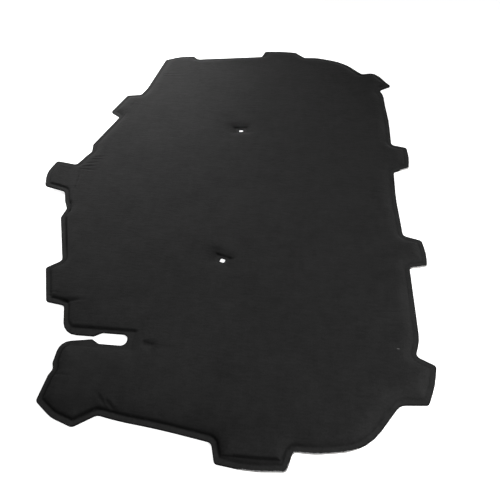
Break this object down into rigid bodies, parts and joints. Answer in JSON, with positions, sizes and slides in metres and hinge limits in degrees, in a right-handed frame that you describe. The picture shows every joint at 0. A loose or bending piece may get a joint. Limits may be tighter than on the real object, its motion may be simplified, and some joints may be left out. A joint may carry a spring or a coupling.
{
  "type": "hood insulation pad",
  "caption": "Moulded fibre pad that lies against the underside of a vehicle's hood, with tabs that tuck into its frame, clip holes and a keyhole slot.",
  "frame": {"origin": "middle of the pad's box, on the flat back that it lies on", "axes": "+X towards the rear of the vehicle, +Y across the vehicle towards the side without the slot, +Z out of the puffed face that looks at the engine"},
  "size_m": [0.9082, 1.2882, 0.0338],
  "materials": {
    "fleece": "matt black nonwoven fleece, hot pressed"
  },
  "bodies": {
    "root": {"hood_insulation_pad": "fleece"}
  },
  "joints": []
}
